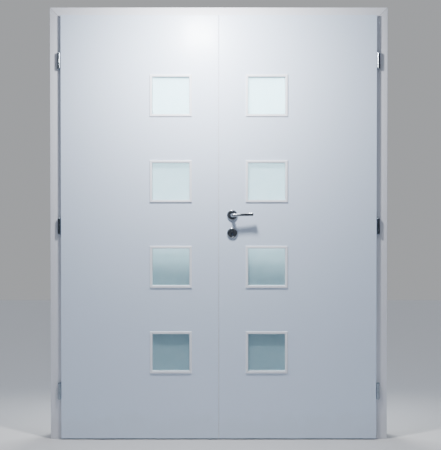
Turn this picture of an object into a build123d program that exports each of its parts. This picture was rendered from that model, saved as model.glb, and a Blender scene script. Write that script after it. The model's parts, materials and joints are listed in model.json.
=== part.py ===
"""Interior double door: a mitred timber frame, two glazed leaves, barrel hinges, a lock and flush bolts.

X runs to the right, Y from the room into the wall and Z up. The origin is on the floor, in the middle of the
doorway, in the plane of the frame's front face.
"""

import os
from math import cos, radians, sin

from build123d import *

os.makedirs("parts", exist_ok=True)

# Driving dimensions in millimetres

# Frame: a casing in front with the rebate, a lining through the wall and a casing behind
frame_width = 1580.0
frame_height = 2022.0
frame_depth = 128.0
frame_face = 60.0
casing_thickness = 12.0
casing_round = 1.5
rebate_depth = 28.0
rebate_strip = 30.0
stop_width = 15.0
lining_thickness = 22.0
lining_step = 3.0

# Wall fixings through the lining
fixing_radius = 4.0
fixing_lowest = 260.0
fixing_top_drop = 282.0
fixing_count = 4

# Leaves
leaf_thickness = 40.0
lip_thickness = 15.0
lip_seat = 2.0
side_lip = 11.5
head_lip = 26.0
rebate_clearance = 4.0
meeting_gap = 3.0
floor_gap = 6.0
skin = 3.0
leaf_round = 1.5
meeting_stile = 110.0
hinge_stile = 70.0
end_rail = 110.0

# Windows
window_offset = 224.0
window_lowest = 410.0
window_top_drop = 374.0
window_count = 4
window_cut = 184.0
pane_gap = 2.0
pane_thickness = 4.0
bead_outer = 197.0
bead_face = 12.0
bead_proud = 5.0
bead_round = 3.0
bead_clearance = 0.3

# Barrel hinges
barrel_radius = 8.0
barrel_height = 80.0
barrel_round = 5.0
barrel_gap = 0.7
leaf_knuckle_share = 0.36
knuckle_gap = 0.3
pin_radius = 4.0
pin_height = 18.0
pin_clearance = 0.05
hinge_lowest = 228.0
hinge_top_drop = 212.0
hinge_count = 3
shank_radius = 3.5
shank_reach = 38.0
shank_clearance = 0.2
collar_radius = 6.0
frame_shank_depth = 22.0
frame_shank_shares = (0.25, 0.75)

# Lever and roses
lever_offset = 63.0
lever_height = 1052.0
key_drop = 84.0
rose_radius = 25.0
rose_thickness = 8.0
rose_round = 2.5
rose_clearance = 0.3
neck_radius = 8.5
neck_seat = 1.0
neck_length = 44.0
lever_reach = 98.0
blade_depth = 20.0
blade_height = 13.0
blade_round = 3.0
blade_rise_angle = 2.5
spindle_side = 8.0
spindle_grip = 30.0
spindle_clearance = 0.1
spindle_hole_radius = 6.5
keyhole_width = 6.0
keyhole_height = 18.0
keyhole_radius = 4.5

# Lock in the right leaf
case_depth = 92.0
case_height = 170.0
case_thickness = 15.0
case_wall = 2.0
case_above_lever = 45.0
case_clearance = 0.3
forend_length = 235.0
forend_width = 20.0
forend_thickness = 3.0
latch_length = 36.0
latch_height = 18.0
latch_travel = 10.0
dead_length = 40.0
dead_height = 32.0
dead_travel = 14.0
bolt_thickness = 10.0
bolt_clearance = 0.3
bolt_recess = 0.5
strike_clearance = 1.5
pocket_spare = 4.0

# Flush bolts in the left leaf
rod_radius = 5.0
rod_length = 170.0
rod_inset = 12.5
rod_depth = 11.0
rod_travel = 20.0
rod_recess = 0.5
rod_clearance = 0.3
rod_socket_clearance = 1.0
slide_width = 7.0
slide_length = 18.0
slide_from_end = 24.0
slide_recess = 0.8
plate_length = 190.0
plate_width = 17.0
plate_thickness = 2.5

# Seals
seal_width = 9.0
seal_inset = 2.5
seal_touch = 0.3
seal_round = 2.0
meeting_seal_width = 5.0
meeting_seal_from_front = 4.0
meeting_seal_groove = 4.0

# One overrun for all cuts
overrun = 5.0

# Sizes that follow from the driving ones
half_width = frame_width / 2
rebate_half = half_width - frame_face
rebate_top = frame_height - frame_face
body_half = rebate_half - rebate_clearance
body_top = rebate_top - rebate_clearance
lip_half = body_half + side_lip
lip_top = body_top + head_lip
leaf_edge = meeting_gap / 2
lip_back = -lip_seat
leaf_front = lip_back - lip_thickness
leaf_back = leaf_front + leaf_thickness
leaf_middle = (leaf_front + leaf_back) / 2
core_front = leaf_front + skin
core_back = leaf_back - skin
hinge_x = lip_half + barrel_gap + barrel_radius
hinge_y = (leaf_front + lip_back) / 2
key_height = lever_height - key_drop
case_front = leaf_edge + forend_thickness
case_top = lever_height + case_above_lever
case_middle = case_top - case_height / 2
rod_x = -(leaf_edge + rod_inset)
bead_inner = bead_outer - 2 * bead_face
lining_back = frame_depth - casing_thickness
reveal_half = rebate_half - stop_width
fixing_depth = (rebate_depth + lining_back) / 2
frame_knuckle_height = barrel_height * (1 - leaf_knuckle_share)
leaf_knuckle_height = barrel_height - frame_knuckle_height - knuckle_gap

sides = (("left", -1), ("right", 1))
hinge_names = ("bottom", "middle", "top")


def spread(lowest, highest, count):
    """Heights spaced evenly from the lowest to the highest."""
    step = (highest - lowest) / (count - 1)
    return [lowest + i * step for i in range(count)]


hinge_heights = spread(hinge_lowest, lip_top - hinge_top_drop, hinge_count)
fixing_heights = spread(fixing_lowest, frame_height - fixing_top_drop, fixing_count)
window_heights = spread(window_lowest, lip_top - window_top_drop, window_count)


def save(piece, name):
    """Label a finished piece and write it to its own file."""
    piece.part.label = name
    export_step(piece.part, f"parts/{name}.step")


def block(x_span, y_span, z_span, mode=Mode.ADD):
    """A box between two limits on each axis."""
    centre = [(low + high) / 2 for low, high in (x_span, y_span, z_span)]
    size = [abs(high - low) for low, high in (x_span, y_span, z_span)]
    with Locations(tuple(centre)):
        Box(*size, mode=mode)


def rod(start, direction, radius, length, mode=Mode.ADD):
    """A round bar from a point along a direction."""
    with Locations(Plane(origin=start, z_dir=direction)):
        Cylinder(radius, length, align=(Align.CENTER, Align.CENTER, Align.MIN), mode=mode)


def about(middle, size):
    """The two limits of a span of a given size about its middle."""
    return (middle - size / 2, middle + size / 2)


# Frame
# Each section is drawn once and swept along both jambs and the head. In it u runs in from the outer edge
# and v runs back from the front face

jamb_planes = {
    "left": Plane(origin=(-half_width, 0, 0), x_dir=(1, 0, 0), z_dir=(0, 0, 1)),
    "right": Plane(origin=(half_width, 0, 0), x_dir=(-1, 0, 0), z_dir=(0, 0, -1)),
}
head_plane = Plane(origin=(-half_width, 0, frame_height), x_dir=(0, 0, -1), z_dir=(1, 0, 0))
mitre_planes = {
    name: Plane(origin=(side * half_width, 0, frame_height), z_dir=(-side, 0, 1)) for name, side in sides
}


def casing_section(section_plane):
    """The front casing: a face board with a thicker inner edge that forms the rebate."""
    strip_u = frame_face - rebate_strip
    with BuildSketch(section_plane) as section:
        with BuildLine():
            Polyline(
                (0, 0),
                (frame_face, 0),
                (frame_face, rebate_depth),
                (strip_u, rebate_depth),
                (strip_u, casing_thickness),
                (0, casing_thickness),
                close=True,
            )
        make_face()
        fillet(section.vertices().sort_by(Axis.Y)[:2], radius=casing_round)
    return section.sketch


def lining_section(section_plane):
    """The lining: a board through the wall, whose front edge is the stop."""
    lining_u = frame_face + stop_width - lining_thickness / 2
    with BuildSketch(section_plane) as section:
        with Locations((lining_u, (rebate_depth + lining_back) / 2)):
            Rectangle(lining_thickness, lining_back - rebate_depth)
    return section.sketch


def back_casing_section(section_plane):
    """The back casing: a face board that leaves a narrow step of the lining in sight."""
    back_face = frame_face + stop_width - lining_step
    with BuildSketch(section_plane) as section:
        with Locations((back_face / 2, frame_depth - casing_thickness / 2)):
            Rectangle(back_face, casing_thickness)
        fillet(section.vertices().sort_by(Axis.Y)[-2:], radius=casing_round)
    return section.sketch


def jamb_of(section_of, side_name):
    """Sweep a section up one side, cut to its mitre."""
    extrude(section_of(jamb_planes[side_name]), amount=frame_height, dir=(0, 0, 1))
    split(bisect_by=mitre_planes[side_name], keep=Keep.BOTTOM)


def head_of(section_of):
    """Sweep a section across the top, cut to both mitres."""
    extrude(section_of(head_plane), amount=frame_width, dir=(1, 0, 0))
    for side_name, side in sides:
        split(bisect_by=mitre_planes[side_name], keep=Keep.TOP)


for side_name, side in sides:
    with BuildPart() as casing:
        jamb_of(casing_section, side_name)
        for height in hinge_heights:
            for share in frame_shank_shares:
                shank_height = height - barrel_height / 2 + share * frame_knuckle_height
                face_point = (side * hinge_x, -overrun, shank_height)
                hole_length = overrun + frame_shank_depth + shank_clearance
                rod(face_point, (0, 1, 0), shank_radius + shank_clearance, hole_length, Mode.SUBTRACT)
    save(casing, f"casing_{side_name}")

    with BuildPart() as lining:
        jamb_of(lining_section, side_name)
        for height in fixing_heights:
            hole_start = (side * (reveal_half - overrun), fixing_depth, height)
            hole_length = overrun + lining_thickness + overrun
            rod(hole_start, (side, 0, 0), fixing_radius, hole_length, Mode.SUBTRACT)
    save(lining, f"lining_{side_name}")

    with BuildPart() as back_casing:
        jamb_of(back_casing_section, side_name)
    save(back_casing, f"back_casing_{side_name}")

with BuildPart() as casing_head:
    head_of(casing_section)
    socket_width = 2 * (rod_radius + rod_socket_clearance)
    socket_z = (rebate_top - overrun, body_top - rod_recess + rod_travel + pocket_spare)
    block(about(rod_x, socket_width), about(rod_depth, socket_width), socket_z, Mode.SUBTRACT)
save(casing_head, "casing_head")

with BuildPart() as lining_head:
    head_of(lining_section)
save(lining_head, "lining_head")

with BuildPart() as back_casing_head:
    head_of(back_casing_section)
save(back_casing_head, "back_casing_head")

# Rebate seal on the stop, behind the leaves, mitred like the frame

seal_height = rebate_depth - leaf_back - seal_touch


def seal_section(section_plane):
    """A flat strip with a rounded front, seated on the stop."""
    seal_u = frame_face + seal_inset + seal_width / 2
    with BuildSketch(section_plane) as section:
        with Locations((seal_u, rebate_depth - seal_height / 2)):
            Rectangle(seal_width, seal_height)
        fillet(section.vertices().sort_by(Axis.Y)[:2], radius=seal_round)
    return section.sketch


with BuildPart() as seal_left:
    jamb_of(seal_section, "left")

with BuildPart() as seal_head:
    head_of(seal_section)

with BuildPart() as frame_seal:
    add(seal_left.part)
    mirror(seal_left.part, about=Plane.YZ)
    add(seal_head.part)
save(frame_seal, "frame_seal")

# Barrel hinges
# The frame's knuckle carries the pin and is held by two shanks in the casing. The leaf's knuckle sits on it

for side_name, side in sides:
    for hinge_name, height in zip(hinge_names, hinge_heights):
        barrel_bottom = height - barrel_height / 2
        split_height = barrel_bottom + frame_knuckle_height
        with BuildPart() as frame_knuckle:
            rod((side * hinge_x, hinge_y, barrel_bottom), (0, 0, 1), barrel_radius, frame_knuckle_height)
            fillet(frame_knuckle.edges().group_by(Axis.Z)[0], radius=barrel_round)
            rod((side * hinge_x, hinge_y, split_height), (0, 0, 1), pin_radius, pin_height)
            for share in frame_shank_shares:
                shank_start = (side * hinge_x, hinge_y, barrel_bottom + share * frame_knuckle_height)
                rod(shank_start, (0, 1, 0), collar_radius, -hinge_y)
                rod(shank_start, (0, 1, 0), shank_radius, frame_shank_depth - hinge_y)
        save(frame_knuckle, f"frame_knuckle_{side_name}_{hinge_name}")

        leaf_knuckle_bottom = split_height + knuckle_gap
        with BuildPart() as leaf_knuckle:
            knuckle_start = (side * hinge_x, hinge_y, leaf_knuckle_bottom)
            rod(knuckle_start, (0, 0, 1), barrel_radius, leaf_knuckle_height)
            fillet(leaf_knuckle.edges().group_by(Axis.Z)[-1], radius=barrel_round)
            shank_height = leaf_knuckle_bottom + leaf_knuckle_height / 2
            shank_length = hinge_x - lip_half + shank_reach
            rod((side * hinge_x, hinge_y, shank_height), (-side, 0, 0), shank_radius, shank_length)
            rod(knuckle_start, (0, 0, 1), pin_radius + pin_clearance, pin_height, Mode.SUBTRACT)
        save(leaf_knuckle, f"leaf_knuckle_{side_name}_{hinge_name}")

# Leaves
# Two skins on a timber edge frame around a core, with the same window cuts through all of them. A lip along
# the hinge side and the top carries the front skin past the edge frame and over the casing

shank_heights = [
    height - barrel_height / 2 + frame_knuckle_height + knuckle_gap + leaf_knuckle_height / 2
    for height in hinge_heights
]


def cut_shanks(side):
    """Bore the hinge side for the shanks of the leaf's knuckles."""
    for height in shank_heights:
        shank_start = (side * (lip_half + overrun), hinge_y, height)
        shank_hole = shank_radius + shank_clearance
        rod(shank_start, (-side, 0, 0), shank_hole, overrun + shank_reach, Mode.SUBTRACT)


def cut_seal_groove():
    """Cut the groove for the seal along the left leaf's meeting edge."""
    seal_y = leaf_front + meeting_seal_from_front + meeting_seal_width / 2
    groove_x = (-leaf_edge, -(leaf_edge + meeting_seal_groove))
    block(groove_x, about(seal_y, meeting_seal_width), (floor_gap, lip_top), Mode.SUBTRACT)


def cut_windows(side, y_span):
    """Cut the column of square windows through a layer of the leaf."""
    for height in window_heights:
        block(about(side * window_offset, window_cut), y_span, about(height, window_cut), Mode.SUBTRACT)


def cut_keyhole(y_span):
    """Cut a keyhole, a slot with a round head, from one depth to another."""
    bottom = key_height - keyhole_height / 2
    head_middle = bottom + keyhole_height - keyhole_radius
    length = y_span[1] - y_span[0]
    block(about(lever_offset, keyhole_width), y_span, (bottom, head_middle), Mode.SUBTRACT)
    rod((lever_offset, y_span[0], head_middle), (0, 1, 0), keyhole_radius, length, Mode.SUBTRACT)


def cut_lever_and_key(y_span):
    """Cut the spindle hole and the keyhole through a layer of the right leaf."""
    length = y_span[1] - y_span[0]
    rod((lever_offset, y_span[0], lever_height), (0, 1, 0), spindle_hole_radius, length, Mode.SUBTRACT)
    cut_keyhole(y_span)


strike_holes = (
    (lever_height, latch_height + 2 * strike_clearance, latch_travel + pocket_spare),
    (key_height, dead_height + 2 * strike_clearance, dead_travel + pocket_spare),
)
strike_hole_width = bolt_thickness + 2 * strike_clearance
through_leaf = (leaf_front - overrun, leaf_back + overrun)
rod_ends = {"top": (body_top, 1), "bottom": (floor_gap, -1)}


def flush_bolt_places(end_name):
    """The rod's outer end, the middle of its thumb slide and the middle of its plate."""
    end, way = rod_ends[end_name]
    rod_end = end - way * rod_recess
    slide_middle = rod_end - way * (rod_length - slide_from_end)
    plate_middle = slide_middle + way * rod_travel / 2
    return way, rod_end, slide_middle, plate_middle


slide_slot = slide_length + rod_travel + 2 * rod_clearance

for side_name, side in sides:
    with BuildPart() as front_skin:
        block((side * leaf_edge, side * lip_half), (leaf_front, core_front), (floor_gap, lip_top))
        fillet(front_skin.faces().sort_by(Axis.Y)[0].edges(), radius=leaf_round)
        cut_windows(side, through_leaf)
        if side_name == "right":
            cut_lever_and_key(through_leaf)
    save(front_skin, f"{side_name}_front_skin")

    with BuildPart() as back_skin:
        block((side * leaf_edge, side * body_half), (core_back, leaf_back), (floor_gap, body_top))
        fillet(back_skin.faces().sort_by(Axis.Y)[-1].edges(), radius=leaf_round)
        cut_windows(side, through_leaf)
        if side_name == "right":
            cut_lever_and_key(through_leaf)
    save(back_skin, f"{side_name}_back_skin")

    core_x = (side * (leaf_edge + meeting_stile), side * (body_half - hinge_stile))
    core_z = (floor_gap + end_rail, body_top - end_rail)
    with BuildPart() as core:
        block(core_x, (core_front, core_back), core_z)
        cut_windows(side, through_leaf)
    save(core, f"{side_name}_core")

    with BuildPart() as lip:
        block((side * body_half, side * lip_half), (core_front, lip_back), (floor_gap, lip_top))
        block((side * leaf_edge, side * body_half), (core_front, lip_back), (body_top, lip_top))
        cut_shanks(side)
        if side_name == "left":
            cut_seal_groove()
    save(lip, f"{side_name}_lip")

    with BuildPart() as edge_frame:
        block((side * leaf_edge, side * body_half), (core_front, core_back), (floor_gap, body_top))
        block(core_x, (core_front, core_back), core_z, Mode.SUBTRACT)
        cut_shanks(side)
        if side_name == "right":
            cut_lever_and_key(through_leaf)
            mortise_x = (leaf_edge, case_front + case_depth + case_clearance)
            mortise_y = about(leaf_middle, case_thickness + 2 * case_clearance)
            block(mortise_x, mortise_y, about(case_middle, case_height + 2 * case_clearance), Mode.SUBTRACT)
        forend_x = (side * leaf_edge, side * case_front)
        block(forend_x, about(leaf_middle, forend_width), about(case_middle, forend_length), Mode.SUBTRACT)
        if side_name == "left":
            for height, hole_height, pocket_depth in strike_holes:
                pocket_x = (-leaf_edge, -(leaf_edge + pocket_depth))
                pocket_y = about(leaf_middle, strike_hole_width)
                block(pocket_x, pocket_y, about(height, hole_height), Mode.SUBTRACT)
            cut_seal_groove()
            for end_name in rod_ends:
                way, rod_end, slide_middle, plate_middle = flush_bolt_places(end_name)
                bore_end = (rod_x, rod_depth, rod_end + way * overrun)
                bore_length = overrun + rod_length + rod_clearance
                rod(bore_end, (0, 0, -way), rod_radius + rod_clearance, bore_length, Mode.SUBTRACT)
                slot_y = about(rod_depth, slide_width + 2 * rod_clearance)
                block((rod_x, -leaf_edge), slot_y, about(plate_middle, slide_slot), Mode.SUBTRACT)
                plate_x = (-leaf_edge, -(leaf_edge + plate_thickness))
                plate_z = about(plate_middle, plate_length)
                block(plate_x, about(rod_depth, plate_width), plate_z, Mode.SUBTRACT)
    save(edge_frame, f"{side_name}_edge_frame")

# Panes and beads
# A bead is a flat ring on the skin with a spigot that reaches in to the glass

pane_y = about(leaf_middle, pane_thickness)
pane_side = window_cut - 2 * pane_gap
spigot_outer = window_cut - 2 * bead_clearance


def bead(side, height, face_y, glass_y):
    """One square bead between a face of the leaf and the pane behind it."""
    out = -1 if face_y < glass_y else 1
    front_y = face_y + out * bead_proud
    with BuildPart() as ring:
        block(about(side * window_offset, bead_outer), (face_y, front_y), about(height, bead_outer))
        inner = about(side * window_offset, bead_inner)
        inner_z = about(height, bead_inner)
        block(inner, (face_y - overrun, front_y + overrun), inner_z, Mode.SUBTRACT)
        front_face = ring.faces().sort_by(Axis.Y)[0 if out < 0 else -1]
        fillet(front_face.edges(), radius=bead_round)
        block(about(side * window_offset, spigot_outer), (face_y, glass_y), about(height, spigot_outer))
        block(inner, (front_y + out * overrun, glass_y - out * overrun), inner_z, Mode.SUBTRACT)
    return ring


for side_name, side in sides:
    with BuildPart() as panes:
        for height in window_heights:
            block(about(side * window_offset, pane_side), pane_y, about(height, pane_side))
    save(panes, f"{side_name}_panes")
    for face_name, face_y, glass_y in (("front", leaf_front, pane_y[0]), ("back", leaf_back, pane_y[1])):
        with BuildPart() as beads:
            for height in window_heights:
                add(bead(side, height, face_y, glass_y).part)
        save(beads, f"{side_name}_{face_name}_beads")

# Lock case, bolts, spindle, levers and roses of the right leaf

with BuildPart() as lock_case:
    case_x = (case_front, case_front + case_depth)
    case_y = about(leaf_middle, case_thickness)
    block(case_x, case_y, about(case_middle, case_height))
    cavity_x = (case_front, case_front + case_depth - case_wall)
    cavity_y = about(leaf_middle, case_thickness - 2 * case_wall)
    block(cavity_x, cavity_y, about(case_middle, case_height - 2 * case_wall), Mode.SUBTRACT)
    forend_y = about(leaf_middle, forend_width)
    block((leaf_edge, case_front), forend_y, about(case_middle, forend_length))
    bolt_hole_y = about(leaf_middle, bolt_thickness + 2 * bolt_clearance)
    for height, bolt_height in ((lever_height, latch_height), (key_height, dead_height)):
        bolt_hole_z = about(height, bolt_height + 2 * bolt_clearance)
        block((leaf_edge - overrun, case_front + overrun), bolt_hole_y, bolt_hole_z, Mode.SUBTRACT)
    cut_lever_and_key(through_leaf)
save(lock_case, "lock_case")

bolt_start = leaf_edge + bolt_recess
bolt_y = about(leaf_middle, bolt_thickness)
with BuildPart() as latch_bolt:
    block((bolt_start, bolt_start + latch_length), bolt_y, about(lever_height, latch_height))
    nose_edge = latch_bolt.edges().filter_by(Axis.Z).group_by(Axis.X)[0].sort_by(Axis.Y)[-1]
    chamfer(nose_edge, length=bolt_thickness - bolt_clearance, length2=bolt_thickness / 2)
save(latch_bolt, "latch_bolt")

with BuildPart() as dead_bolt:
    block((bolt_start, bolt_start + dead_length), bolt_y, about(key_height, dead_height))
save(dead_bolt, "dead_bolt")

grip_front = leaf_front - rose_thickness - spindle_grip
grip_back = leaf_back + rose_thickness + spindle_grip
with BuildPart() as spindle:
    block(about(lever_offset, spindle_side), (grip_front, grip_back), about(lever_height, spindle_side))
save(spindle, "spindle")

# Outline of a lever seen from above, in shares of its reach and of its blade's depth
outer_edge_shares = ((-0.04, 0.55), (0.06, 0.93), (0.32, 0.9), (0.66, 0.78), (1.0, 1.0))
inner_edge_shares = ((1.0, 0.0), (0.66, 0.18), (0.36, 0.22), (0.2, 0.0), (0.09, -0.5))
blade_turn = radians(blade_rise_angle)


def lever(face_y, out):
    """A lever with a round neck and a flat blade that widens to its tip, outside one face of the leaf."""
    along = (cos(blade_turn), 0, sin(blade_turn))
    upright = (-out * sin(blade_turn), 0, out * cos(blade_turn))
    blade_start = rose_thickness + neck_length - blade_depth
    blade_plane = Plane(origin=(lever_offset, face_y, lever_height), x_dir=along, z_dir=upright)
    outer_edge = [(a * lever_reach, blade_start + b * blade_depth) for a, b in outer_edge_shares]
    inner_edge = [(a * lever_reach, blade_start + b * blade_depth) for a, b in inner_edge_shares]
    with BuildPart() as handle:
        with BuildSketch(blade_plane):
            with BuildLine():
                Spline(*outer_edge)
                Line(outer_edge[-1], inner_edge[0])
                Spline(*inner_edge)
                Line(inner_edge[-1], outer_edge[0])
            make_face()
        extrude(amount=blade_height / 2, both=True)
        fillet(handle.edges(), radius=blade_round)
        neck_start = (lever_offset, face_y + out * neck_seat, lever_height)
        rod(neck_start, (0, out, 0), neck_radius, rose_thickness + neck_length - blade_depth - neck_seat)
        socket_side = spindle_side + 2 * spindle_clearance
        socket_y = (face_y, face_y + out * (rose_thickness + spindle_grip + spindle_clearance))
        block(about(lever_offset, socket_side), socket_y, about(lever_height, socket_side), Mode.SUBTRACT)
    return handle


def rose(face_y, out, height, is_key):
    """A round cover on the leaf, open for the lever's neck or with a keyhole."""
    with BuildPart() as cover:
        rod((lever_offset, face_y, height), (0, out, 0), rose_radius, rose_thickness)
        fillet(cover.edges().sort_by(Axis.Y)[0 if out < 0 else -1], radius=rose_round)
        if is_key:
            cut_keyhole(through_rose)
        else:
            hole_start = (lever_offset, face_y - out * overrun, height)
            hole_length = overrun + rose_thickness + overrun
            rod(hole_start, (0, out, 0), neck_radius + rose_clearance, hole_length, Mode.SUBTRACT)
    return cover


through_rose = (leaf_front - rose_thickness - overrun, leaf_back + rose_thickness + overrun)
for face_name, face_y, out in (("front", leaf_front, -1), ("back", leaf_back, 1)):
    save(lever(face_y, out), f"lever_{face_name}")
    save(rose(face_y, out, lever_height, False), f"rose_{face_name}")
    save(rose(face_y, out, key_height, True), f"key_rose_{face_name}")

# Strike plate, meeting seal and flush bolts of the left leaf

with BuildPart() as strike_plate:
    block((-leaf_edge, -case_front), about(leaf_middle, forend_width), about(case_middle, forend_length))
    for height, hole_height, pocket_depth in strike_holes:
        hole_x = (-leaf_edge + overrun, -case_front - overrun)
        block(hole_x, about(leaf_middle, strike_hole_width), about(height, hole_height), Mode.SUBTRACT)
save(strike_plate, "strike_plate")

with BuildPart() as meeting_seal:
    seal_y = leaf_front + meeting_seal_from_front + meeting_seal_width / 2
    seal_x = (-(leaf_edge + meeting_seal_groove), leaf_edge - seal_touch)
    block(seal_x, about(seal_y, meeting_seal_width), (floor_gap, lip_top))
save(meeting_seal, "meeting_seal")

for end_name in rod_ends:
    way, rod_end, slide_middle, plate_middle = flush_bolt_places(end_name)
    with BuildPart() as bolt_plate:
        plate_x = (-leaf_edge, -(leaf_edge + plate_thickness))
        block(plate_x, about(rod_depth, plate_width), about(plate_middle, plate_length))
        slot_x = (-leaf_edge + overrun, -(leaf_edge + plate_thickness) - overrun)
        slot_y = about(rod_depth, slide_width + 2 * rod_clearance)
        block(slot_x, slot_y, about(plate_middle, slide_slot), Mode.SUBTRACT)
    save(bolt_plate, f"{end_name}_bolt_plate")

    with BuildPart() as flush_bolt:
        rod((rod_x, rod_depth, rod_end), (0, 0, -way), rod_radius, rod_length)
        slide_x = (rod_x, -(leaf_edge + slide_recess))
        block(slide_x, about(rod_depth, slide_width), about(slide_middle, slide_length))
    save(flush_bolt, f"{end_name}_flush_bolt")
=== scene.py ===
# %% [markdown]
# # An interior double door
#
# The object is a pair of white rebated leaves with square frosted panes, hung on barrel hinges in a
# mitred frame. The solids come from CAD and give every piece its place. This lesson dresses them:
# it sets up the camera and the light, writes a finish for each material, and models again the
# pieces that CAD leaves too plain.

# %% Load the solids
import json
from math import pi, radians

import bmesh
import bpy
from mathutils import Matrix, Vector
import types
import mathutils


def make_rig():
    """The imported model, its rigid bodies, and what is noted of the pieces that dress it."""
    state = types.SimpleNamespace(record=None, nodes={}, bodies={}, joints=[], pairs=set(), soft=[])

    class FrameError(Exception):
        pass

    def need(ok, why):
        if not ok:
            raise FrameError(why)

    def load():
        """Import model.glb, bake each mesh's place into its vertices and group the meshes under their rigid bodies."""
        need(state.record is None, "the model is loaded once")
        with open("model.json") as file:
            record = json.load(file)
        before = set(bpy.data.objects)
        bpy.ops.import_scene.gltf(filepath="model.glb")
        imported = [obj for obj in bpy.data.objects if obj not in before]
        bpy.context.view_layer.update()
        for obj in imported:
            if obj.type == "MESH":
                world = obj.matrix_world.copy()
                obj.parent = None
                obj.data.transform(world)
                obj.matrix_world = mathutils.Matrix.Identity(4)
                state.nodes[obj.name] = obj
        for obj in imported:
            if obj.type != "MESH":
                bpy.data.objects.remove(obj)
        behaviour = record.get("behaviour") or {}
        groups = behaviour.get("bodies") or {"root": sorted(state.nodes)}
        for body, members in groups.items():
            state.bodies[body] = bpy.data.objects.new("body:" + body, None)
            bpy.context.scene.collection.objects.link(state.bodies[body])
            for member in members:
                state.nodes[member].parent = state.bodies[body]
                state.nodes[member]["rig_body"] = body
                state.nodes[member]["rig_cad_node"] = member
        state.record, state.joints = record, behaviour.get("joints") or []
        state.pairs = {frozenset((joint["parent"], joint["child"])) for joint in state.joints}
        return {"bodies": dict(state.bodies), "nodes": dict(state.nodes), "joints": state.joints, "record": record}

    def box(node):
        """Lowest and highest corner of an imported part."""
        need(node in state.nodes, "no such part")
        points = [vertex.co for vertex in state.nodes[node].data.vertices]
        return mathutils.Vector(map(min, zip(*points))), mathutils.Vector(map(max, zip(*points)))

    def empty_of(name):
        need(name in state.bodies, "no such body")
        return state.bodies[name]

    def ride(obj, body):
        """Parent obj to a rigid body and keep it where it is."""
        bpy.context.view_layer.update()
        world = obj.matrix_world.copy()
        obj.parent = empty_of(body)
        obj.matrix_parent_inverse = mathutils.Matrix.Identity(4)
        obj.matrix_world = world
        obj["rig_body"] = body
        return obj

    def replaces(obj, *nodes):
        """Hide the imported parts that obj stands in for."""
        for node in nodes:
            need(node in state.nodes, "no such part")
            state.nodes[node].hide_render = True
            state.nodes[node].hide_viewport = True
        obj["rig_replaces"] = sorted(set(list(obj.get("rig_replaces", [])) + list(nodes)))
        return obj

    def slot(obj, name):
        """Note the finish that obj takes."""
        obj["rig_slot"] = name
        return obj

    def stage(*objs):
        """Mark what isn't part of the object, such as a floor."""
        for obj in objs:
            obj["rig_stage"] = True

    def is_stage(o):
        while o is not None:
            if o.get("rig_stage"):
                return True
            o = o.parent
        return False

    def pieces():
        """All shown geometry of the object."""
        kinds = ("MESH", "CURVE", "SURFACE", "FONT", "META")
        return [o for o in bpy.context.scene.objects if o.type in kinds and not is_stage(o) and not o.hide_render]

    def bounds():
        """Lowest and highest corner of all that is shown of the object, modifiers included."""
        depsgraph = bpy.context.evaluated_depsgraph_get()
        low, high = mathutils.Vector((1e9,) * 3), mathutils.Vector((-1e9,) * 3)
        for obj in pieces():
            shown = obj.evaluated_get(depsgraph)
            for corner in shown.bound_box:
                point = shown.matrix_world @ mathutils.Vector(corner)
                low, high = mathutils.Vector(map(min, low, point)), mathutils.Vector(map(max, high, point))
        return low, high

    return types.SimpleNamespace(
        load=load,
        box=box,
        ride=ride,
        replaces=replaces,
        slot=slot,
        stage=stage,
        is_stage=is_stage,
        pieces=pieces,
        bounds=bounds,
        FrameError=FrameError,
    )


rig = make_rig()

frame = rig.load()
cad_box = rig.bounds()
nodes = frame["nodes"]
print("solids:", len(nodes), "bodies:", len(frame["bodies"]))

# %% [markdown]
# ## Camera
#
# The photograph looks straight at the door from a few metres away, a little downwards: the frame is
# 338 pixels wide at its top and 336 at its foot. A long lens at 4.5 m gives the same mild
# convergence. The optical axis meets the door at half its height, so no lens shift is needed.

# %% Camera
camera_distance = 4.5
camera_lens = 76.8
camera_tilt = 0.85
camera_aim = Vector((0.008, 0.0, 1.006))

camera_data = bpy.data.cameras.new("door_camera")
camera_data.lens = camera_lens
camera_data.sensor_width = 36.0
camera = bpy.data.objects.new("door_camera", camera_data)
bpy.context.scene.collection.objects.link(camera)
tilt = Matrix.Rotation(radians(-camera_tilt), 4, "X")
camera.location = camera_aim + tilt @ Vector((0.0, -camera_distance, 0.0))
camera.rotation_euler = (radians(90.0 - camera_tilt), 0.0, 0.0)
bpy.context.scene.camera = camera
print("camera at", [round(v, 3) for v in camera.location])

# %% [markdown]
# ## Floor and light
#
# The door stands free on a plain pale floor, so that its back can be seen too. In the photograph
# the leaves are brightest at the top middle and darken towards the foot, and the lip throws a
# narrow shadow outwards on both casings. One fairly small lamp close to the top middle does both. A
# broad lamp in front fills the shadows, and a pair of lamps behind each leaf lights the frosted
# panes from the back, more at the top than lower down. Polished metal needs something to mirror, so
# reflections see an air that is dark below and pale overhead, while the camera itself sees an even
# backdrop.

# %% Floor
floor_size = 14.0

bpy.ops.object.select_all(action="DESELECT")
bpy.ops.mesh.primitive_plane_add(size=floor_size, location=(0.0, 0.0, 0.0))
floor = bpy.context.object
floor.name = "studio_floor"
floor_paint = bpy.data.materials.new("studio_floor")
floor_paint.use_nodes = True
floor_shader = floor_paint.node_tree.nodes["Principled BSDF"]
floor_shader.inputs["Base Color"].default_value = (0.60, 0.60, 0.61, 1.0)
floor_shader.inputs["Roughness"].default_value = 0.7
floor.data.materials.append(floor_paint)
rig.stage(floor)
print("floor", floor.name)

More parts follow.
